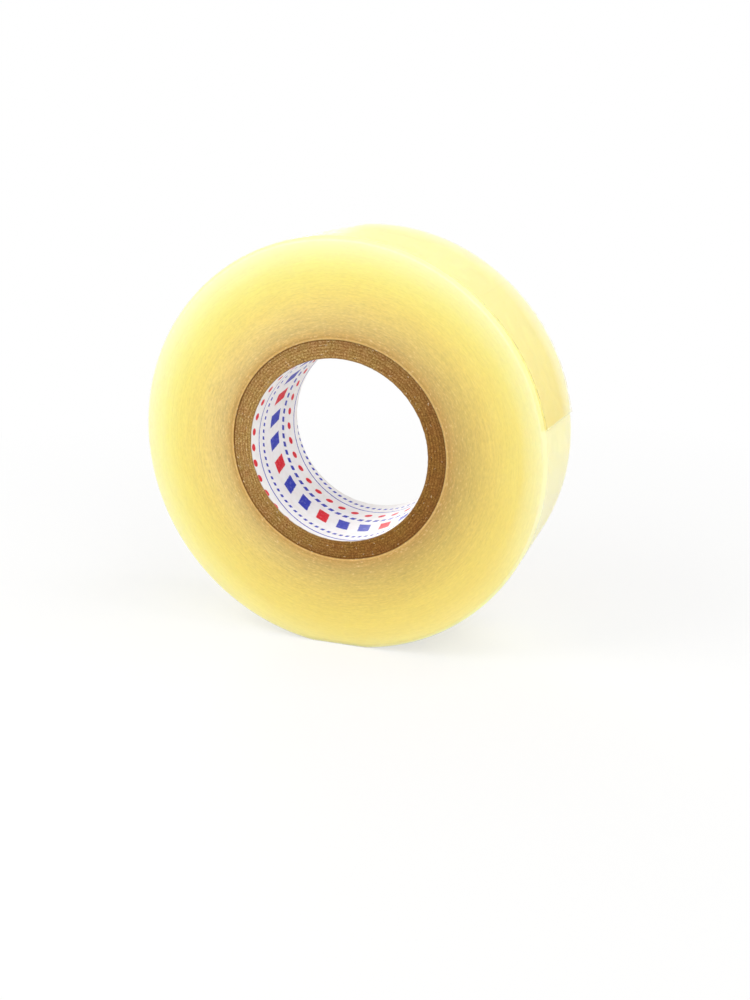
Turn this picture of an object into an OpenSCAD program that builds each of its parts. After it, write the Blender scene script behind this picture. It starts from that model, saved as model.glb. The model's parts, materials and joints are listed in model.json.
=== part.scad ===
// A roll of clear sports tape on a spiral-wound paperboard core, standing on its rim.
// X runs across the roll, Y along its core to the back, and Z up from the surface under it.

/* [Tape] */
// Width of the tape
tape_w = 25; // [12:0.5:50]
// Thickness of the film with its adhesive
tape_t = 0.15; // [0.08:0.01:0.3]
// Outer diameter of the roll, measured at the free end
roll_d = 86; // [70:1:120]
// Depth of the flat that the roll presses into its rim where it stands
rim_flat = 0.5; // [0.3:0.1:1]

/* [Free end] */
// Height of the free end above the middle of the roll, as an angle seen from the front
end_angle = 9; // [0:1:20]
// Length of the loose tape, from its root to the free end
tail_length = 30; // [15:1:45]
// Room between the loose tape and the turn under it
tail_gap = 0.05; // [0.03:0.01:0.1]
// Room at each end of the loose tape
end_gap = 0.3; // [0.2:0.05:0.6]

/* [Core] */
// Diameter of the bore, inside the liner
bore_d = 38.1; // [32:0.1:50]
// Thickness of the paper liner
liner_t = 0.2; // [0.1:0.05:0.4]
// Thickness of one ply of paperboard
ply_t = 0.6; // [0.3:0.05:0.9]
// How far the ends of the core lie inside the edges of the tape
core_inset = 0.2; // [0.05:0.05:1]

/* [Butt joints of the plies] */
// Gap between the edges of a ply
seam_gap = 0.4; // [0.2:0.05:0.8]
// Slant of a joint to the axis of the core
seam_slant = 35; // [15:1:45]
// Turn from the joint of one ply to that of the next
seam_turn = 137; // [30:1:170]

/* [Hidden] */
PLIES = 6;
PLY_NODES = [for (i = [1:PLIES]) str("core_ply_", i)];
$fn = 180;

// Radii, from the bore outwards
bore_r = bore_d / 2;
board_r = bore_r + liner_t;
core_r = board_r + PLIES * ply_t;
roll_r = roll_d / 2;
pack_r = roll_r - 2 * tape_t;

// Height of the core's axis, and length of the core
axis_z = roll_r - rim_flat;
core_w = tape_w - 2 * core_inset;

// Arcs of the last turn, counted the way the tape winds, in degrees
gap_arc = end_gap / roll_r * 180 / PI;
tail_arc = tail_length / roll_r * 180 / PI;
tail_from = 360 - tail_arc;
wrap_to = tail_from - gap_arc;
tail_to = 360 - gap_arc;

// How far cuts run past what they cut
past = 1;

// Colours as photographed
liner_colour = [0.95, 0.95, 0.94];
board_colour = [0.62, 0.48, 0.30];
tape_colour = [0.96, 0.91, 0.62];

// Point on a winding that starts at radius r and climbs by one thickness in a turn
function winding_point(r, a) =
    a < 180 ? r * [cos(a), sin(a)]
            : [tape_t / 2, 0] + (r + tape_t / 2) * [cos(a), sin(a)];

// Winding coordinates seen from the front: clockwise, and turned to the free end
function seen_from_front(p) =
    let (x = p[0], y = -p[1], c = cos(end_angle), s = sin(end_angle))
    [c * x - s * y, s * x + c * y];

// Root of the loose tape, in the middle of its thickness
root_point = seen_from_front(winding_point(pack_r + tail_gap + tape_t / 2, tail_from));
echo(root_x = root_point[0], root_z = axis_z + root_point[1]);

// Least gap of the last turn to itself, over points more than half a turn apart
GAP_STEPS = 90;
wrap_angles = [for (i = [0:GAP_STEPS]) wrap_to * i / GAP_STEPS];
self_gap = min([for (a = wrap_angles, b = wrap_angles, lift = [0, tape_t])
    if (b - a > 180) norm(winding_point(pack_r, b) - winding_point(pack_r + lift, a))]);
echo(least_gap_of_outer_wrap_to_itself = self_gap);

// Stands a roll drawn flat, with its axis along Z, on its rim
module stand() {
    translate([0, 0, axis_z])
        rotate([90, 0, 0])
            children();
}

// One ring of the core
module core_ring(inner_r, outer_r) {
    difference() {
        cylinder(h = core_w, r = outer_r, center = true);
        cylinder(h = core_w + 2 * past, r = inner_r, center = true);
    }
}

// Half of a disc, above the middle or below it
module half_disc(r, above) {
    intersection() {
        circle(r);
        translate([-2 * r, above ? 0 : -2 * r])
            square([4 * r, 2 * r]);
    }
}

// Outline of a winding: two half discs that meet smoothly, with one step at the start
module winding_outline(r) {
    half_disc(r, true);
    translate([tape_t / 2, 0])
        half_disc(r + tape_t / 2, false);
}

// Sector of the roll between two winding angles
module sector(from, to) {
    reach = 2 * roll_d;
    polygon([[0, 0], reach * [cos(from), sin(from)], reach * [cos(to), sin(to)]]);
}

// Turns a winding so that it is seen from the front, with its free end in place
module facing_front() {
    rotate(end_angle)
        mirror([0, 1])
            children();
}

// Cuts a winding flat at a depth below the axis
module flat_below(depth) {
    intersection() {
        facing_front()
            children();
        translate([-roll_d, -depth])
            square([2 * roll_d, roll_d + depth]);
    }
}

module pack_outline() {
    flat_below(axis_z - tape_t)
        winding_outline(pack_r);
}

module core_liner() {
    color(liner_colour)
        stand()
            core_ring(bore_r, board_r);
}

module core_ply(i) {
    inner_r = board_r + (i - 1) * ply_t;
    outer_r = inner_r + ply_t;
    seam_run = 2 * core_w;
    color(board_colour)
        stand()
            difference() {
                core_ring(inner_r, outer_r);
                rotate(i * seam_turn)
                    rotate([seam_slant, 0, 0])
                        translate([0, -seam_gap / 2, -seam_run / 2])
                            cube([outer_r + past, seam_gap, seam_run]);
            }
}

module tape_pack() {
    color(tape_colour)
        stand()
            linear_extrude(tape_w, center = true)
                difference() {
                    pack_outline();
                    circle(core_r);
                }
}

module outer_wrap() {
    color(tape_colour)
        stand()
            linear_extrude(tape_w, center = true)
                difference() {
                    flat_below(axis_z)
                        winding_outline(pack_r + tape_t);
                    pack_outline();
                    facing_front()
                        sector(wrap_to, 360);
                }
}

module tape_tail() {
    inner_r = pack_r + tail_gap;
    color(tape_colour)
        stand()
            linear_extrude(tape_w, center = true)
                facing_front()
                    intersection() {
                        difference() {
                            winding_outline(inner_r + tape_t);
                            winding_outline(inner_r);
                        }
                        sector(tail_from, tail_to);
                    }
}

core_liner();
for (i = [1:PLIES])
    core_ply(i);
tape_pack();
outer_wrap();
tape_tail();
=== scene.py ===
"""A roll of clear sports tape on a paperboard core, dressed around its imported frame."""
import json
import math

import bmesh
import bpy
import numpy as np
from mathutils import Matrix, Vector

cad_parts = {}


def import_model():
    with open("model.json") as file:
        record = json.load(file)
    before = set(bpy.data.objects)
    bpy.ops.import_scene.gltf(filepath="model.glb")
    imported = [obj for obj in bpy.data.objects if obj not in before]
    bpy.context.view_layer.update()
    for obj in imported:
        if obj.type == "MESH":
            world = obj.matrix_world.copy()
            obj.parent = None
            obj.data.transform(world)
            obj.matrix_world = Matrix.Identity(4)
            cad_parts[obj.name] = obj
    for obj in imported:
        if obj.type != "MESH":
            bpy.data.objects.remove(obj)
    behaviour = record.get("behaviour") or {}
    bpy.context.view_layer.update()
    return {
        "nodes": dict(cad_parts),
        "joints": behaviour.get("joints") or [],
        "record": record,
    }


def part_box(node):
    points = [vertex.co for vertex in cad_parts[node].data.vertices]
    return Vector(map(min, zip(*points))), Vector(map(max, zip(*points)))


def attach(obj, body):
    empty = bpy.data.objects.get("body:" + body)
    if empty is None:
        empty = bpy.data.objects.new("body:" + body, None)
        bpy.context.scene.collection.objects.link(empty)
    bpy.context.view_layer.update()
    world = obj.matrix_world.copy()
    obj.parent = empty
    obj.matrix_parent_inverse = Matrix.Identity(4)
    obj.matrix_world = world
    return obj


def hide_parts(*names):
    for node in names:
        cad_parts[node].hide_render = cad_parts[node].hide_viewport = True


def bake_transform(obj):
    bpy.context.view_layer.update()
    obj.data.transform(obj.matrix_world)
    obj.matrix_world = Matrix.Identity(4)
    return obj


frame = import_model()

MM = 0.001
TURN = 2 * math.pi

# Sizes and places from the frame
bore = next(m for m in frame["record"]["mounts"] if m["name"] == "core_bore")
hinge = next(j for j in frame["joints"] if j["name"] == "tail_peel")
pack_lo, pack_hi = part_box("tape_pack")
liner_lo, liner_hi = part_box("core_liner")
tail_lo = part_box("tape_tail")[0]

AXIS_Z = bore["pos_m"][2]
BORE_R = bore["dims"]["r_mm"] * MM
LINER_R = (liner_hi.x - liner_lo.x) / 2
CORE_HALF = liner_hi.y
TAPE_HALF = pack_hi.y
TAPE_T = pack_lo.z
PACK_R = -pack_lo.x

ply_nodes = sorted(n for n in frame["nodes"] if n.startswith("core_ply_"))
ply_radii = [LINER_R]
for name in ply_nodes:
    lo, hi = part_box(name)
    ply_radii.append((hi.x - lo.x) / 2)
CORE_R = ply_radii[-1]

# The free end and the root of the loose tape, as angles seen from the front
ROOT = Vector(hinge["pos_m"])
ROOT_ANGLE = math.atan2(ROOT.z - AXIS_Z, ROOT.x)
END_ANGLE = math.asin((tail_lo.z - AXIS_Z) / PACK_R)
TAIL_ARC = ROOT_ANGLE - END_ANGLE

# How far the slanting cut of the free end turns from its middle to either edge of the tape
CUT_SLANT = math.radians(1.4)

# Lean of the outermost turns: how far their front edges lie behind the face, where it is most, over what
# radius it grows, and the power that it grows by
EDGE_BACK = 0.9 * MM
EDGE_ANGLE = math.radians(20)
EDGE_DEPTH = 0.8 * MM
EDGE_POWER = 1.3

# Room between turns that touch, and the radius of the last turn's outside where the roll stands
TURN_ROOM = 0.02 * MM
STAND_R = PACK_R + TAPE_T * (1 + (END_ANGLE + TURN / 4) / TURN) + TURN_ROOM

# Height over which the tape gives where the roll stands
STAND_GIVE = 4 * MM

# Points across a strip of film, and small unevenness of its edges and its face
FILM_ROWS = 17
FILM_SLIP = 0.01 * MM
FILM_RIPPLE = 0.001 * MM

# Butt joints of the plies
SEAM_GAP = 0.12 * MM
SEAM_SLANT = math.radians(35)
SEAM_TURN = math.radians(137)

# How light each ply is, from the liner out
PLY_SHADES = (0.99, 1.06, 0.97, 1.02, 0.95, 0.92)

# Loose fibres on each end of the core
FIBRE_COUNT = 130

# Angles from which painted light falls on the outer turns of the tape, and on its inner turns and the
# board; painted shade lies away from them
OUTER_PAINTED_LIGHT = math.radians(115)
INNER_PAINTED_LIGHT = math.radians(147)

# Lap of the liner, and how far its print climbs across the strip for each length along it
LAP_ANGLE = math.radians(78)
LAP_SLANT = math.radians(20)
LAP_STEP = 0.09 * MM
LAP_FADE = 2.5 * MM
PRINT_SLOPE = 0.10

# Width in millimetres after which the liner's print repeats
PRINT_REPEAT = 18

# Camera at the photograph's viewing angle, in pixels of the 750 by 1000 frame and in metres
FOCAL_PX = 1200.8
FRAME_LONG_PX = 1000
SENSOR_MM = 36
VIEW_AZIMUTH = math.radians(19.22)
VIEW_ELEVATION = math.radians(18.34)
VIEW_DISTANCE = 257.6 * MM
VIEW_RIGHT = 3.59 * MM
VIEW_HEIGHT = 28.47 * MM

# Floor: its size, how far from the middle it fades to white, and how white it is before that
FLOOR_SIZE = 3.0
FLOOR_FADE = (0.05, 0.20)
FLOOR_WHITE = 0.62

# Strength of the world where it lights the roll, and where it is seen
WORLD_LIT = 0.40
WORLD_SEEN = 1.0

# Place of the lamps behind the roll
BEHIND = (-0.30, 0.40, 0.10)

rng = np.random.default_rng(7)


# Small helpers for meshes

def place(radius, angle, y):
    """Points at angles seen from the front, counter-clockwise from the right."""
    x = radius * np.cos(angle)
    z = AXIS_Z + radius * np.sin(angle)
    return np.stack(np.broadcast_arrays(x, y, z), axis=-1)


def lay_tape(radius, angle, y, slant=1):
    """Points of wound tape, turned with the slanting cut and pressed flat where the roll stands."""
    points = place(radius, angle - slant * CUT_SLANT * y / TAPE_HALF, y)
    x, z = points[..., 0], points[..., 2]
    rim_z = AXIS_Z - np.sqrt(np.clip(STAND_R ** 2 - x ** 2, 0, None))
    lift = np.clip(-rim_z, 0, None)
    share = np.clip((z - rim_z) / STAND_GIVE, 0, 1)
    points[..., 2] += lift * (1 - share * share * (3 - 2 * share))
    return points


def set_back(radius, angle):
    """How far the front edge of the tape lies behind the face, where the outermost turns lean."""
    share = np.clip((radius - PACK_R + EDGE_DEPTH) / EDGE_DEPTH, 0, 1)
    return EDGE_BACK * share ** EDGE_POWER * (1 + np.cos(angle - EDGE_ANGLE)) / 2


def wander(count, knots, size):
    """A smooth random curve of that many samples, drawn through evenly spaced knots."""
    values = rng.normal(0, size, knots + 3)
    at = np.linspace(0, knots, count)
    knot = np.minimum(at.astype(int), knots - 1)
    past = at - knot
    before, start, end, after = (values[knot + k] for k in range(4))
    square = 2 * before - 5 * start + 4 * end - after
    cubic = 3 * (start - end) + after - before
    return start + 0.5 * past * (end - before + past * (square + past * cubic))


def grid_faces(ids):
    """Quads between the neighbours in a grid of point numbers."""
    corners = (ids[:-1, :-1], ids[:-1, 1:], ids[1:, 1:], ids[1:, :-1])
    return np.stack(corners, axis=-1).reshape(-1, 4).tolist()


def strip_faces(columns, rows):
    """Faces of a closed strip whose points are a grid for one side, then one for the other.

    The two sides come first, then the two long edges, the start and the end."""
    one = np.arange(columns * rows).reshape(columns, rows)
    other = one + columns * rows
    faces = grid_faces(one) + grid_faces(other)
    for edge in (np.s_[:, 0], np.s_[:, -1], np.s_[0], np.s_[-1]):
        faces += grid_faces(np.stack([one[edge], other[edge]]))
    return faces


def make_piece(name, points, faces, material, body, nodes=(), sharp_degrees=40):
    """A closed mesh that rides on a body, if one is named, and stands for CAD nodes."""
    mesh = bpy.data.meshes.new(name)
    mesh.from_pydata(np.asarray(points).reshape(-1, 3).tolist(), [], faces)
    work = bmesh.new()
    work.from_mesh(mesh)
    bmesh.ops.recalc_face_normals(work, faces=work.faces)
    work.to_mesh(mesh)
    work.free()
    mesh.shade_smooth()
    mesh.set_sharp_from_angle(angle=math.radians(sharp_degrees))
    mesh.materials.append(material)
    piece = bpy.data.objects.new(name, mesh)
    bpy.context.scene.collection.objects.link(piece)
    if body:
        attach(piece, body)
    if nodes:
        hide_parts(*nodes)
    return piece


# Small helpers for materials

def srgb(red, green, blue):
    """Linear colour of an sRGB colour given from 0 to 255."""
    parts = [c / 255 for c in (red, green, blue)]
    return [c / 12.92 if c <= 0.04045 else ((c + 0.055) / 1.055) ** 2.4 for c in parts] + [1]


def new_material(name):
    """A new material, with its node tree and its shader."""
    material = bpy.data.materials.new(name)
    material.use_nodes = True
    tree = material.node_tree
    shader = tree.nodes["Principled BSDF"]
    return material, tree, shader


def feed(tree, socket, value):
    """Links a socket to another node's output, or sets it to a plain value."""
    if isinstance(value, bpy.types.NodeSocket):
        tree.links.new(value, socket)
    else:
        socket.default_value = value


def dress(tree, node, inputs):
    """Links or sets a node's inputs, given by name."""
    for name, value in inputs.items():
        feed(tree, node.inputs[name], value)


def maths(tree, operation, *inputs):
    """The result of one operation on numbers or on other nodes' outputs."""
    node = tree.nodes.new("ShaderNodeMath")
    node.operation = operation
    for socket, value in zip(node.inputs, inputs):
        feed(tree, socket, value)
    return node.outputs[0]


def plus(tree, first, second):
    return maths(tree, "ADD", first, second)


def minus(tree, first, second):
    return maths(tree, "SUBTRACT", first, second)


def times(tree, first, second):
    return maths(tree, "MULTIPLY", first, second)


def larger(tree, first, second):
    return maths(tree, "MAXIMUM", first, second)


def hypotenuse(tree, first, second):
    """Length of a slanting line from its level and upright parts."""
    return maths(tree, "SQRT", plus(tree, times(tree, first, first), times(tree, second, second)))


def cycle(tree, value, pitch):
    """How far a value is into its repeat, from 0 to 1."""
    return maths(tree, "FRACT", maths(tree, "DIVIDE", value, pitch))


def vector(tree, x, y, z):
    """Three numbers as one vector."""
    node = tree.nodes.new("ShaderNodeCombineXYZ")
    for socket, value in zip(node.inputs, (x, y, z)):
        feed(tree, socket, value)
    return node.outputs[0]


def parts_of(tree, coordinates):
    """The three numbers of a vector."""
    node = tree.nodes.new("ShaderNodeSeparateXYZ")
    feed(tree, node.inputs[0], coordinates)
    return node.outputs


def object_position(tree):
    """The place of the shaded point, in metres."""
    return tree.nodes.new("ShaderNodeTexCoord").outputs["Object"]


def noise(tree, coordinates, scale, detail=3, roughness=0.5):
    """Smooth noise around 0.5, finer with a larger scale."""
    node = tree.nodes.new("ShaderNodeTexNoise")
    dress(tree, node, {"Vector": coordinates, "Scale": scale, "Detail": detail, "Roughness": roughness})
    return node.outputs["Fac"]


def remap(tree, value, low, high, to_low=0, to_high=1):
    """A value between two limits carried over to two others, and held at them beyond."""
    node = tree.nodes.new("ShaderNodeMapRange")
    for socket, number in zip(node.inputs, (value, low, high, to_low, to_high)):
        feed(tree, socket, number)
    return node.outputs["Result"]


def stripe(tree, value, low, high, soft=0.05):
    """1 between two values, with soft edges."""
    rise = remap(tree, value, low - soft, low + soft)
    fall = remap(tree, value, high + soft, high - soft)
    return times(tree, rise, fall)


def ramp(tree, value, stops):
    """Colours at positions from 0 to 1."""
    node = tree.nodes.new("ShaderNodeValToRGB")
    elements = node.color_ramp.elements
    while len(elements) < len(stops):
        elements.new(0.5)
    for element, (position, colour) in zip(elements, stops):
        element.position = position
        element.color = colour
    feed(tree, node.inputs["Fac"], value)
    return node.outputs["Color"]


def mix(tree, factor, first, second, blend="MIX"):
    """Two colours mixed. Inputs 6 and 7 and output 2 are the node's colour sockets."""
    node = tree.nodes.new("ShaderNodeMix")
    node.data_type = "RGBA"
    node.blend_type = blend
    for number, value in ((0, factor), (6, first), (7, second)):
        feed(tree, node.inputs[number], value)
    return node.outputs[2]


def bump(tree, shader, height, strength, distance):
    """Small relief on a shader's surface."""
    node = tree.nodes.new("ShaderNodeBump")
    dress(tree, node, {"Height": height, "Strength": strength, "Distance": distance})
    feed(tree, shader.inputs["Normal"], node.outputs["Normal"])


def polar(tree):
    """Object coordinates as (position, y, radius, cosine and sine of the angle)."""
    position = object_position(tree)
    x, y, z = parts_of(tree, position)
    up = minus(tree, z, AXIS_Z)
    radius = hypotenuse(tree, x, up)
    return position, y, radius, maths(tree, "DIVIDE", x, radius), maths(tree, "DIVIDE", up, radius)


def painted_light_side(tree, cosine, sine, angle):
    """From -1 on the side away from an angle to 1 on the side towards it, for painting light and shade."""
    level = times(tree, cosine, math.cos(angle))
    return maths(tree, "MULTIPLY_ADD", sine, math.sin(angle), level)


def streaks(tree, cosine, sine, across, round_scale, across_scale, detail=3):
    """Noise drawn out round the roll, with no seam."""
    coordinates = vector(
        tree,
        times(tree, cosine, round_scale),
        times(tree, sine, round_scale),
        times(tree, across, across_scale),
    )
    return noise(tree, coordinates, 1, detail)


# Materials

def tape_side_colour(tree, depth, cosine, sine):
    """Tan by the core, which shows through, then yellow, then cream, with painted light towards the light
    angles and painted shade away from them.
    """
    # By the core: a dark line and a bright line just outside it, painted shade and a painted highlight,
    # then the tan of the core showing through
    core_edge_shade_highlight_and_tan = [
        (0.000, srgb(160, 108, 44)),
        (0.008, srgb(232, 192, 118)),
        (0.016, srgb(230, 188, 114)),
        (0.028, srgb(204, 164, 94)),
    ]
    light = ramp(tree, depth, core_edge_shade_highlight_and_tan + [
        (0.060, srgb(219, 186, 116)),
        (0.120, srgb(224, 199, 129)),
        (0.270, srgb(240, 217, 137)),
        (0.450, srgb(247, 226, 132)),
        (0.620, srgb(251, 234, 136)),
        (0.750, srgb(254, 243, 152)),
        (0.880, srgb(255, 251, 182)),
        (0.970, srgb(255, 252, 202)),
    ])
    deep = ramp(tree, depth, core_edge_shade_highlight_and_tan + [
        (0.060, srgb(206, 171, 100)),
        (0.120, srgb(206, 178, 104)),
        (0.270, srgb(219, 195, 111)),
        (0.450, srgb(233, 209, 117)),
        (0.620, srgb(242, 220, 122)),
        (0.750, srgb(245, 224, 128)),
        (0.880, srgb(249, 230, 142)),
        (0.970, srgb(250, 234, 158)),
    ])
    # Painted light and shade: the lit colours towards the light angles, the shaded colours away from them
    inner = painted_light_side(tree, cosine, sine, INNER_PAINTED_LIGHT)
    outer = painted_light_side(tree, cosine, sine, OUTER_PAINTED_LIGHT)
    outwards = remap(tree, depth, 0.3, 0.55)
    side = maths(tree, "MULTIPLY_ADD", minus(tree, outer, inner), outwards, inner)
    colour = mix(tree, remap(tree, side, -0.9, 0.9), deep, light)

    # Painted light: paler by the rim, on the right side only
    painted_glow = times(tree, remap(tree, cosine, 0.85, 1), remap(tree, depth, 0.75, 0.96, 0, 0.4))
    return mix(tree, painted_glow, colour, srgb(255, 250, 205))


def tape_rim_colour(tree, y, cosine, sine):
    """Tan under the loose end, with painted light below it on the lower right, a painted glow towards the
    back, and a painted highlight on the bare front edge.
    """
    turned = minus(tree, maths(tree, "ARCTAN2", sine, cosine), END_ANGLE)
    turned = maths(tree, "MULTIPLY_ADD", y, CUT_SLANT / TAPE_HALF, turned)
    over_end = remap(tree, turned, -0.006, 0.006)
    tan_share = times(tree, over_end, remap(tree, turned, 0.02, 0.95, 1, 0))
    colour = mix(tree, tan_share, srgb(254, 247, 164), srgb(241, 222, 115))
    # Painted light: paler on the lower right of the rim, below the free end
    painted_light_below = mix(tree, remap(tree, turned, -0.1, -0.4), srgb(255, 248, 190), srgb(255, 250, 212))
    painted_light_below_share = times(tree, minus(tree, 1, over_end), remap(tree, turned, -0.95, -0.5))
    colour = mix(tree, painted_light_below_share, colour, painted_light_below)

    # Painted light: paler towards the back edge, most where the loose end lies over it
    from_back = minus(tree, TAPE_HALF, y)
    paler = remap(tree, from_back, 8 * MM, 0.2 * MM, 0, 0.75)
    paler = times(tree, paler, remap(tree, over_end, 0, 1, 0.5, 1))
    colour = mix(tree, paler, colour, srgb(255, 253, 226))
    # Painted highlight along the bare front edge, where the outermost turns lean back
    from_front = plus(tree, TAPE_HALF, y)
    painted_edge_highlight = remap(tree, from_front, EDGE_BACK + 0.1 * MM, EDGE_BACK - 0.1 * MM, 0, 0.58)
    return mix(tree, painted_edge_highlight, colour, srgb(253, 246, 188))


def tape_rim_share(tree, depth, y):
    """1 on the rim and on the outermost turns where they lean, and 0 on the sides."""
    outer_turns = (PACK_R - EDGE_DEPTH - CORE_R) / (PACK_R - CORE_R)
    outside = remap(tree, depth, outer_turns, outer_turns + 0.01)
    from_side = minus(tree, TAPE_HALF, maths(tree, "ABSOLUTE", y))
    return times(tree, outside, remap(tree, from_side, 0.05 * MM, 0.3 * MM))


def wound_tape_material():
    """Clear film wound deep, with the edges of its turns as fine streaks on the sides."""
    material, tree, shader = new_material("wound_tape")
    position, y, radius, cosine, sine = polar(tree)
    depth = remap(tree, radius, CORE_R, PACK_R)
    on_rim = tape_rim_share(tree, depth, y)
    side_colour = tape_side_colour(tree, depth, cosine, sine)
    colour = mix(tree, on_rim, side_colour, tape_rim_colour(tree, y, cosine, sine))

    # Streaks along the turns, strongest by the core and faint on the rim
    across = plus(tree, radius, times(tree, y, 0.6))
    turns = streaks(tree, cosine, sine, across, 5, 2400)
    nicks = streaks(tree, cosine, sine, across, 34, 4000)
    bands = streaks(tree, cosine, sine, across, 1.2, 420, 2)
    relief = plus(tree, times(tree, turns, 0.4), times(tree, nicks, 0.6))
    smooth_rim = remap(tree, on_rim, 0, 1, 1, 0.2)
    strength = times(tree, remap(tree, depth, 0, 0.75, 1.0, 0.24), smooth_rim)
    fine_tone = times(tree, minus(tree, relief, 0.5), strength)
    band_tone = times(tree, minus(tree, bands, 0.5), times(tree, smooth_rim, 0.06))
    tone = plus(tree, plus(tree, fine_tone, band_tone), 1)
    colour = mix(tree, 1, colour, vector(tree, tone, tone, tone), "MULTIPLY")

    # Warm mottle and pale flecks, most by the core
    mottle = times(tree, noise(tree, position, 260, 4, 0.6), remap(tree, depth, 0.6, 0.0, 0, 0.5))
    colour = mix(tree, mottle, colour, mix(tree, 1, colour, srgb(255, 236, 214), "MULTIPLY"))
    flecks = times(tree, remap(tree, nicks, 0.60, 0.72), remap(tree, depth, 0.42, 0.02, 0, 0.5))
    colour = mix(tree, flecks, colour, srgb(250, 232, 186))

    uneven = times(tree, minus(tree, turns, 0.5), smooth_rim)
    dress(tree, shader, {
        "Base Color": colour,
        "Roughness": remap(tree, uneven, -0.2, 0.2, 0.38, 0.52),
        "Specular IOR Level": 0.28,
        "Subsurface Weight": 0.45,
        "Subsurface Radius": (1.0, 0.8, 0.35),
        "Subsurface Scale": 4 * MM,
    })
    bump(tree, shader, times(tree, relief, smooth_rim), 0.25, 0.05 * MM)
    return material


def film_material(name):
    """One turn of clear film, faintly clouded."""
    material, tree, shader = new_material(name)
    cloud = noise(tree, object_position(tree), 90, 2)
    dress(tree, shader, {
        "Base Color": ramp(tree, cloud, [(0.3, srgb(253, 246, 200)), (0.7, srgb(255, 248, 204))]),
        "Alpha": remap(tree, cloud, 0.3, 0.7, 0.10, 0.12),
        "Roughness": remap(tree, cloud, 0.3, 0.7, 0.25, 0.31),
    })
    bump(tree, shader, cloud, 0.03, 0.1 * MM)
    return material


def film_edge_material():
    """The cut edges of clear film, denser than its face."""
    material, tree, shader = new_material("film_edge")
    cloud = noise(tree, object_position(tree), 600, 2)
    dress(tree, shader, {
        "Base Color": ramp(tree, cloud, [(0.4, srgb(236, 222, 160)), (0.6, srgb(252, 244, 200))]),
        "Alpha": remap(tree, cloud, 0.42, 0.58, 0.42, 0.10),
        "Roughness": 0.4,
    })
    return material


def board_material(name, index):
    """Raw brown paperboard: short fibres laid round the core, olive inside and reddish outside."""
    material, tree, shader = new_material(name)
    position, y, radius, cosine, sine = polar(tree)
    fibres = streaks(tree, cosine, sine, plus(tree, radius, y), 60, 2600, 4)
    grain = noise(tree, position, 3000, 2, 0.6)
    patches = noise(tree, position, 900, 3, 0.6)
    amount = maths(tree, "MULTIPLY_ADD", fibres, 0.25, times(tree, grain, 0.6))
    amount = maths(tree, "MULTIPLY_ADD", patches, 0.15, amount)

    def shaded(red, green, blue):
        return [c * PLY_SHADES[index] for c in srgb(red, green, blue)[:3]] + [1]

    def tones(dark, middle, light):
        return ramp(tree, amount, [(0.32, shaded(*dark)), (0.5, shaded(*middle)), (0.68, shaded(*light))])

    reddish = tones((108, 62, 24), (158, 109, 57), (208, 164, 106))
    olive = tones((108, 76, 28), (158, 121, 59), (208, 176, 108))
    turning = 0.44 + 0.024 * index
    hue = remap(tree, noise(tree, position, 330, 3), turning - 0.25, turning + 0.25)
    colour = mix(tree, hue, reddish, olive)

    # Painted light and shade: lighter and greyer on the upper left, deeper brown on the lower right
    side = remap(tree, painted_light_side(tree, cosine, sine, INNER_PAINTED_LIGHT), -0.75, 0.75)
    painted_light_and_shade = mix(tree, side, (0.73, 0.62, 0.41, 1), (1.21, 1.34, 1.56, 1))
    colour = mix(tree, 1, colour, painted_light_and_shade, "MULTIPLY")

    # Darker at the outer edge of the ply: a glue line, and in the last ply a stronger line that is also
    # painted shade where the board meets the tape
    outer = ply_radii[index + 1]
    glue_and_shade = 0.6 if outer == CORE_R else 0.4
    glue_and_shade_line = remap(tree, radius, outer - 0.24 * MM, outer - 0.10 * MM, 0, glue_and_shade)
    dress(tree, shader, {
        "Base Color": mix(tree, glue_and_shade_line, colour, srgb(104, 62, 16)),
        "Roughness": 0.85,
        "Specular IOR Level": 0.25,
    })
    bump(tree, shader, amount, 0.5, 0.1 * MM)
    return material


def fibre_material():
    """Pale loose fibres on the cut ends of the board."""
    material, tree, shader = new_material("board_fibres")
    shade = noise(tree, object_position(tree), 900, 2)
    dress(tree, shader, {
        "Base Color": ramp(tree, shade, [(0.35, srgb(186, 152, 104)), (0.65, srgb(240, 224, 192))]),
        "Roughness": 0.8,
    })
    return material


def liner_print(tree, along, across):
    """Shares of blue and of red ink, from places along and across the print in millimetres."""
    # A row of slanted bars, two blue and one red
    bar_pitch, bar_slant, bar_soft = 5.2, 0.6, 0.015
    slanted = maths(tree, "DIVIDE", plus(tree, along, times(tree, across, bar_slant)), bar_pitch)
    bar = stripe(tree, maths(tree, "FRACT", slanted), 0.14, 0.66, bar_soft)
    bars = times(tree, bar, stripe(tree, across, 1.0, 5.2))
    third = maths(tree, "FLOORED_MODULO", maths(tree, "FLOOR", slanted), 3)
    reds = times(tree, bars, maths(tree, "COMPARE", third, 2, 0.5))
    blues = minus(tree, bars, reds)

    # Two rows of small blue dashes, and a thin blue rule
    dash_start, dash_soft = 0.1, 0.03
    for centre, half, pitch, share in ((7.6, 0.55, 1.9, 0.6), (15.6, 0.4, 1.5, 0.5)):
        dash = stripe(tree, cycle(tree, along, pitch), dash_start, dash_start + share, dash_soft)
        row = stripe(tree, across, centre - half, centre + half)
        blues = larger(tree, blues, times(tree, dash, row))
    blues = larger(tree, blues, stripe(tree, across, 13.3, 13.6))

    # A row of red dots
    dot_pitch, dot_row, dot_radius, dot_soft = 3.4, 10.8, 0.8, 0.05
    dot_x = times(tree, minus(tree, cycle(tree, along, dot_pitch), 0.5), dot_pitch)
    dot_y = minus(tree, across, dot_row)
    dots = remap(tree, hypotenuse(tree, dot_x, dot_y), dot_radius + dot_soft, dot_radius - dot_soft)
    return blues, larger(tree, reds, dots)


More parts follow.
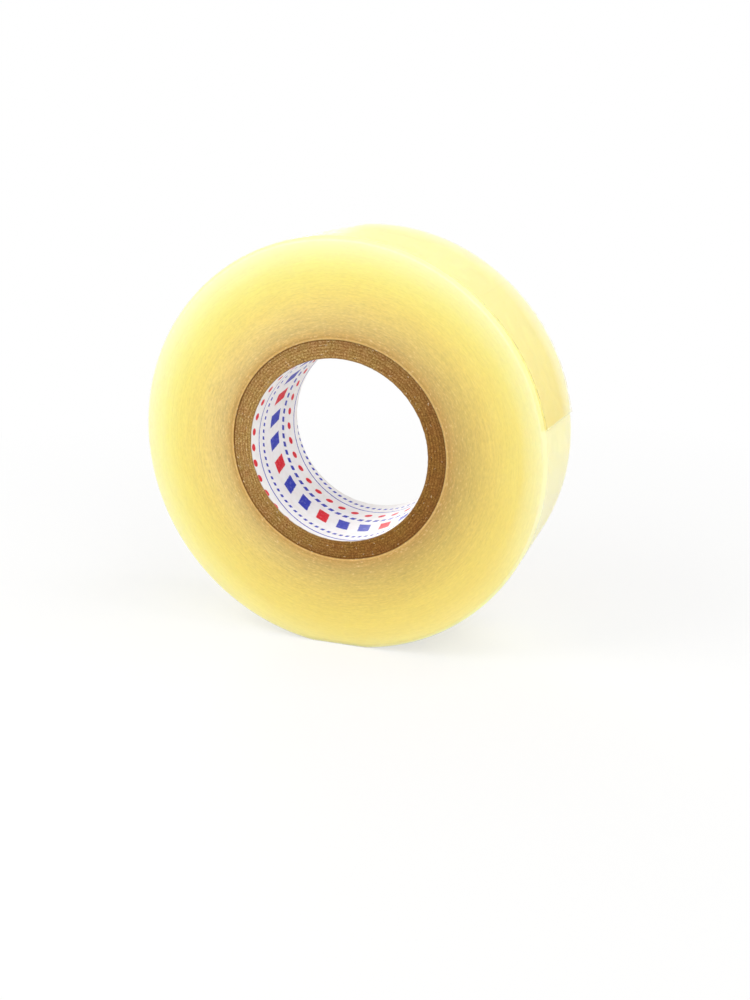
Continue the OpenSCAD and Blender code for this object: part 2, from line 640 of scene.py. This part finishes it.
def liner_material():
    """Brown paper with a white face, printed with plain bars, a rule, dashes and dots."""
    material, tree, shader = new_material("printed_liner")
    uv = tree.nodes.new("ShaderNodeUVMap")
    uv.uv_map = "print_mm"
    print_x, print_y, _ = parts_of(tree, uv.outputs[0])
    position, y, radius = polar(tree)[:3]
    ragged = times(tree, minus(tree, noise(tree, position, 2400, 2), 0.5), 0.22)
    along = plus(tree, print_x, ragged)
    across = maths(tree, "FLOORED_MODULO", plus(tree, print_y, ragged), PRINT_REPEAT)
    blues, reds = liner_print(tree, along, across)

    cloud = noise(tree, position, 600, 4)
    paper = ramp(tree, cloud, [(0.3, srgb(246, 244, 240)), (0.7, srgb(254, 254, 253))])
    inked = remap(tree, noise(tree, position, 1500, 3), 0.25, 0.5, 0.9, 1)
    colour = mix(tree, times(tree, blues, inked), paper, srgb(30, 46, 178))
    colour = mix(tree, times(tree, reds, inked), colour, srgb(222, 18, 40))

    # Tan at the cut edges, and the brown backing
    cut_edge = remap(tree, maths(tree, "ABSOLUTE", y), CORE_HALF - 0.35 * MM, CORE_HALF - 0.1 * MM, 0, 0.5)
    colour = mix(tree, cut_edge, colour, srgb(190, 178, 146))
    backing = remap(tree, radius, BORE_R + 0.03 * MM, BORE_R + 0.05 * MM)
    dress(tree, shader, {
        "Base Color": mix(tree, backing, colour, srgb(150, 110, 60)),
        "Specular IOR Level": 0.2,
        "Roughness": remap(tree, blues, 0, 1, 0.55, 0.45),
    })
    bump(tree, shader, noise(tree, position, 1800, 3), 0.15, 0.03 * MM)
    return material


# Pieces

def wound_tape():
    """The turns under the last one: a true spiral on both sides, each turn a little in or out of line."""
    columns, rows, rim_knots = 180, 15, 14
    turns = round((PACK_R - CORE_R) / TAPE_T)

    # Knots and size of the slip of the edges: quick along each turn, and slow over about four turns
    quick_slip = (turns * 9, 0.008 * MM)
    slow_slip = (turns // 4, 0.012 * MM)
    pitch = (PACK_R - CORE_R) / turns
    wound = np.arange(turns * columns + 1) / columns
    angle = END_ANGLE - TURN * wound
    radii = CORE_R + pitch * (wound[:, None] + [0, 1])
    points, faces, rim_edges, bore_edges = [], [], [], []
    count = 0
    for side in (-1, 1):
        slip = wander(len(wound), *quick_slip) + wander(len(wound), *slow_slip)
        y = side * (TAPE_HALF + slip)[:, None]
        if side < 0:
            y = y + set_back(radii, angle[:, None])
        points.append(lay_tape(radii, angle[:, None], y).reshape(-1, 3))
        points.append(lay_tape(CORE_R, angle[:columns], side * TAPE_HALF))
        ids = count + np.arange(radii.size).reshape(radii.shape)
        low, high = ids.T
        bore_edge = count + ids.size + np.arange(columns + 1) % columns
        count += ids.size + columns

        # The turns, the steps between them, the first turn's inner edge, and the spiral's two ends
        faces += grid_faces(ids)
        faces += grid_faces(np.stack([high[:-columns], low[columns:]]))
        faces += grid_faces(np.stack([bore_edge, low[:columns + 1]]))
        faces += grid_faces(np.array([[bore_edge[0], low[columns]], [low[0], high[0]]]))
        faces.append([int(high[-1]), int(low[-1]), int(high[-1 - columns])])
        rim_edges.append(high[-1 - columns:])
        bore_edges.append(bore_edge)
    faces += grid_faces(np.stack(bore_edges))

    # The rim, and the step where the last turn begins
    inside = np.linspace(-1, 1, rows)[1:-1]
    ripple = np.stack([wander(columns + 1, rim_knots, FILM_RIPPLE) for _ in inside], axis=1)
    last = slice(-1 - columns, None)
    rim = lay_tape(radii[last, 1:] + ripple, angle[last, None], inside * TAPE_HALF)
    points.append(rim.reshape(-1, 3))
    rim_ids = count + np.arange(ripple.size).reshape(ripple.shape)
    rim_ids = np.column_stack([rim_edges[0], rim_ids, rim_edges[1]])
    faces += grid_faces(rim_ids) + grid_faces(rim_ids[[-1, 0]])
    material = wound_tape_material()
    points = np.concatenate(points)
    make_piece("wound_tape", points, faces, material, "roll", ["tape_pack"], sharp_degrees=25)


def film_strip(angle, radius, slant):
    """Points and faces of a closed strip of film, with its inside at a radius for each angle."""
    columns, rows = len(angle), FILM_ROWS
    edge_in = 0.03 * MM
    share = np.linspace(-1, 1, rows)
    slip = wander(columns, columns // 12, FILM_SLIP)
    ripple = np.stack([wander(columns, columns // 16, FILM_RIPPLE) for _ in share], axis=1)
    back = set_back(PACK_R, angle)[:, None]
    y = share * (TAPE_HALF - edge_in - back / 2) + back / 2 + slip[:, None]
    under = radius[:, None] + ripple
    sides = [lay_tape(r, angle[:, None], y, slant[:, None]) for r in (under, under + TAPE_T)]
    return np.concatenate([side.reshape(-1, 3) for side in sides]), strip_faces(columns, rows)


def last_turn():
    """The outer turn of tape, from the slanting cut to the square root of the loose end."""
    columns = 300
    wound = np.linspace(0, 1 - TAIL_ARC / TURN, columns)
    radius = PACK_R + TURN_ROOM + TAPE_T * wound
    points, faces = film_strip(END_ANGLE - TURN * wound, radius, 1 - wound / wound[-1])
    material = film_material("last_turn_film")
    make_piece("last_turn", points, faces, material, "roll", ["outer_wrap"])


def loose_end():
    """The loose end of the tape, which lifts a little off the roll from its root and curls a little at its
    cut.
    """
    columns = 72
    lift, lift_share = 0.05 * MM, 1 / 6
    curl, curl_share = 0.14 * MM, 0.14
    wound = np.linspace(1 - TAIL_ARC / TURN, 1, columns)
    along = np.linspace(0, 1, columns)
    apart = lift * np.clip(along / lift_share, 0, 1)
    apart = apart + curl * np.clip((along - 1 + curl_share) / curl_share, 0, 1) ** 2
    radius = PACK_R + TURN_ROOM + TAPE_T * wound + apart
    points, faces = film_strip(END_ANGLE - TURN * (wound - 1), radius, along)
    material = film_material("loose_end_film")
    piece = make_piece("loose_end", points, faces, material, None, ["tape_tail"])

    # The long edges and the cut, but not the root, take the material of the cut edges
    piece.data.materials.append(film_edge_material())
    steps, end_faces = columns - 1, FILM_ROWS - 1
    edges = 2 * steps * end_faces
    root = edges + 2 * steps
    cut = root + end_faces
    for number in [*range(edges, root), *range(cut, len(faces))]:
        piece.data.polygons[number].material_index = 1
    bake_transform(piece)


def core_ply(index, name):
    """One ply of paperboard, with its slanting butt joint and ragged ends."""
    inner, outer = ply_radii[index], ply_radii[index + 1]
    columns, wall_rows = 360, 12
    bevel, uneven, ragged = 0.04 * MM, 0.03 * MM, 0.016 * MM
    radial = np.array([0, 0.12, 0.36, 0.64, 0.88, 1])
    drop = np.array([1, 0.1, 0, 0, 0.1, 1]) * bevel
    recess = uneven * rng.uniform(-1, 1)
    ends = []
    for side in (-1, 1):
        rough = rng.normal(0, ragged, (columns, len(radial)))
        rough = (rough + np.roll(rough, 1, 0) + np.roll(rough, -1, 0)) / 2
        ends.append(side * (CORE_HALF - recess - drop + rough))
    front, back = ends

    # One section through the ply for each column, swept from one side of the joint to the other
    wall = np.linspace(0, 1, wall_rows)[1:-1]
    outer_wall = front[:, -1:] + (back[:, -1:] - front[:, -1:]) * wall
    inner_wall = back[:, :1] + (front[:, :1] - back[:, :1]) * wall
    face_r = inner + (outer - inner) * radial
    section_r = np.concatenate([face_r, 0 * wall + outer, face_r[::-1], 0 * wall + inner])
    section_y = np.concatenate([front, outer_wall, back[:, ::-1], inner_wall], axis=1)
    slant = np.arcsin(math.tan(SEAM_SLANT) * section_y / section_r)
    half_gap = SEAM_GAP / (2 * inner)
    sweep = np.linspace(half_gap, TURN - half_gap, columns)
    points = place(section_r, (index + 1) * SEAM_TURN + slant + sweep[:, None], section_y)
    around = len(section_r)
    ids = np.arange(columns * around).reshape(columns, around)
    faces = grid_faces(ids[:, np.arange(around + 1) % around])
    faces += [ids[0].tolist(), ids[-1].tolist()]
    material = board_material(name + "_board", index)
    make_piece(name + "_board", points, faces, material, "roll", [name])


def fibre_box(centre, along, length, width, height):
    """A bent sliver of fibre on an end face: points and faces of a thin closed strip."""
    bow = 0.12 * length
    direction = Vector((math.cos(along), 0, math.sin(along)))
    aside = Vector((-math.sin(along), 0, math.cos(along)))
    points = []
    for step, arch, taper in ((-0.5, 0.2, 0.4), (0, 1, 1), (0.5, 0.3, 0.35)):
        middle = centre + direction * (length * step) + aside * (bow * (1 - 4 * step * step))
        for across, out in ((-1, 0), (1, 0), (1, 1), (-1, 1)):
            raised = Vector((0, out * height * arch, 0))
            points.append(middle + aside * (across * width * taper / 2) + raised)
    faces = [(0, 1, 2, 3), (8, 9, 10, 11)]
    for part in (0, 4):
        faces += [(part + k, part + (k + 1) % 4, part + 4 + (k + 1) % 4, part + 4 + k) for k in range(4)]
    return points, faces


def loose_fibres():
    """Slivers of paper that stand up from the cut ends of the core."""
    edge_room, sunk = 0.1 * MM, 0.03 * MM
    points, faces = [], []
    for side in (-1, 1):
        for _ in range(FIBRE_COUNT):
            angle = rng.uniform(0, TURN)
            radius = rng.uniform(LINER_R + edge_room, CORE_R - edge_room)
            centre = Vector(place(radius, angle, side * (CORE_HALF - sunk)))
            along = angle + TURN / 4 + rng.normal(0, 0.45)
            long = rng.uniform(0.25, 0.9) * MM
            wide = rng.uniform(0.05, 0.11) * MM
            high = side * rng.uniform(0.04, 0.1) * MM
            sliver, quads = fibre_box(centre, along, long, wide, high)
            faces += [tuple(len(points) + k for k in quad) for quad in quads]
            points += sliver
    make_piece("core_fibres", points, faces, fibre_material(), "roll")


def liner():
    """The paper liner, lapped at a slanting joint, with a slightly frayed cut edge."""
    columns, rows = 420, 27
    fray_knots, fray_size, fray_power = 150, 0.07 * MM, 24
    ripple_knots, ripple_size = 40, 0.006 * MM
    glue_room = 0.01 * MM
    share = np.linspace(-1, 1, rows)
    fray = [np.abs(wander(columns, fray_knots, fray_size)) for _ in range(2)]
    ends = np.where(share[None, :] < 0, fray[0][:, None], fray[1][:, None])
    near_end = np.abs(share) ** fray_power
    y = share[None, :] * CORE_HALF - np.sign(share)[None, :] * ends * near_end[None, :]
    sweep = np.linspace(0, TURN, columns)
    slant = math.tan(LAP_SLANT) * y / BORE_R
    angle = LAP_ANGLE + slant + sweep[:, None]
    lift = LAP_STEP * np.exp(-sweep * BORE_R / LAP_FADE)[:, None]
    ripple = np.stack([wander(columns, ripple_knots, ripple_size) for _ in share], axis=1)
    inside = place(BORE_R - lift + ripple, angle, y)
    outside = place(LINER_R - glue_room - 0.5 * lift, angle, y)
    points = np.concatenate([inside.reshape(-1, 3), outside.reshape(-1, 3)])
    faces = strip_faces(columns, rows)
    piece = make_piece("liner_paper", points, faces, liner_material(), "roll", ["core_liner"])

    # Print coordinates along and across the strip, in millimetres
    along = np.broadcast_to(sweep[:, None] * BORE_R / MM, y.shape)
    across = y / MM + PRINT_SLOPE * along
    table = np.tile(np.stack([along.reshape(-1), across.reshape(-1)], axis=1), (2, 1))
    layer = piece.data.uv_layers.new(name="print_mm")
    corner = np.empty(len(piece.data.loops), dtype=np.int32)
    piece.data.loops.foreach_get("vertex_index", corner)
    layer.data.foreach_set("uv", table[corner].astype(np.float32).reshape(-1))


# Floor, light and camera

def bright_to_camera(tree):
    """1 for rays from the camera, a reflection or a clear surface, and 0 for rays that light the scene."""
    path = tree.nodes.new("ShaderNodeLightPath")
    seen = larger(tree, path.outputs["Is Camera Ray"], path.outputs["Is Glossy Ray"])
    return larger(tree, seen, path.outputs["Is Transmission Ray"])


def floor():
    """A plain pale floor that keeps the roll's shadow and fades to white around it."""
    bpy.ops.mesh.primitive_plane_add(size=FLOOR_SIZE)
    plane = bpy.context.object
    plane.name = "floor"
    material, tree, shader = new_material("floor_white")
    dress(tree, shader, {"Base Color": (0.90, 0.90, 0.89, 1), "Roughness": 0.9, "Specular IOR Level": 0.0})
    white = tree.nodes.new("ShaderNodeEmission")
    away = tree.nodes.new("ShaderNodeVectorMath")
    away.operation = "LENGTH"
    feed(tree, away.inputs[0], object_position(tree))
    share = remap(tree, away.outputs["Value"], *FLOOR_FADE, FLOOR_WHITE, 1)
    blend = tree.nodes.new("ShaderNodeMixShader")
    surfaces = (times(tree, bright_to_camera(tree), share), shader.outputs[0], white.outputs[0])
    for socket, value in zip(blend.inputs, surfaces):
        feed(tree, socket, value)
    feed(tree, tree.nodes["Material Output"].inputs["Surface"], blend.outputs[0])
    plane.data.materials.append(material)


def world():
    """A white world, dimmer where it lights the roll than where it is seen."""
    studio = bpy.data.worlds.new("studio")
    bpy.context.scene.world = studio
    studio.use_nodes = True
    tree = studio.node_tree
    strength = remap(tree, bright_to_camera(tree), 0, 1, WORLD_LIT, WORLD_SEEN)
    dress(tree, tree.nodes["Background"], {"Color": (1, 1, 1, 1), "Strength": strength})


def soft_light(name, place_at, size, power, highlight=True):
    """A round lamp aimed at the middle of the roll, with or without its reflection."""
    data = bpy.data.lights.new(name, "AREA")
    data.shape = "DISK"
    data.size = size
    data.energy = power
    lamp = bpy.data.objects.new(name, data)
    bpy.context.scene.collection.objects.link(lamp)
    lamp.location = place_at
    lamp.visible_glossy = highlight
    target = Vector((0, 0, AXIS_Z))
    lamp.rotation_euler = (target - Vector(place_at)).to_track_quat("-Z", "Y").to_euler()


def camera():
    """The camera, fitted to the photograph."""
    data = bpy.data.cameras.new("camera")
    data.sensor_width = SENSOR_MM
    data.lens = FOCAL_PX * SENSOR_MM / FRAME_LONG_PX
    data.clip_start = 10 * MM
    eye = bpy.data.objects.new("camera", data)
    bpy.context.scene.collection.objects.link(eye)
    right = Vector((math.cos(VIEW_AZIMUTH), math.sin(VIEW_AZIMUTH), 0))
    back = Vector((
        math.sin(VIEW_AZIMUTH) * math.cos(VIEW_ELEVATION),
        -math.cos(VIEW_AZIMUTH) * math.cos(VIEW_ELEVATION),
        math.sin(VIEW_ELEVATION),
    ))
    target = right * VIEW_RIGHT + Vector((0, 0, VIEW_HEIGHT))
    up = back.cross(right)
    turn = Matrix((right, up, back)).transposed().to_4x4()
    eye.matrix_world = Matrix.Translation(target + back * VIEW_DISTANCE) @ turn
    bpy.context.scene.camera = eye


bpy.context.scene.view_settings.view_transform = "Standard"
camera()
floor()
world()
soft_light("key", (-0.17, -0.17, 0.27), 0.20, 0.44)
soft_light("front", (0.30, -0.32, 0.34), 0.30, 0.76)
soft_light("top", (0.25, 0.00, 0.45), 0.30, 0.68)
soft_light("low", (0.45, 0.05, 0.05), 0.20, 0.28)
soft_light("back", BEHIND, 0.30, 0.78)
soft_light("behind", BEHIND, 0.30, 0.72, highlight=False)

wound_tape()
last_turn()
loose_end()
for number, node_name in enumerate(ply_nodes):
    core_ply(number, node_name)
loose_fibres()
liner()
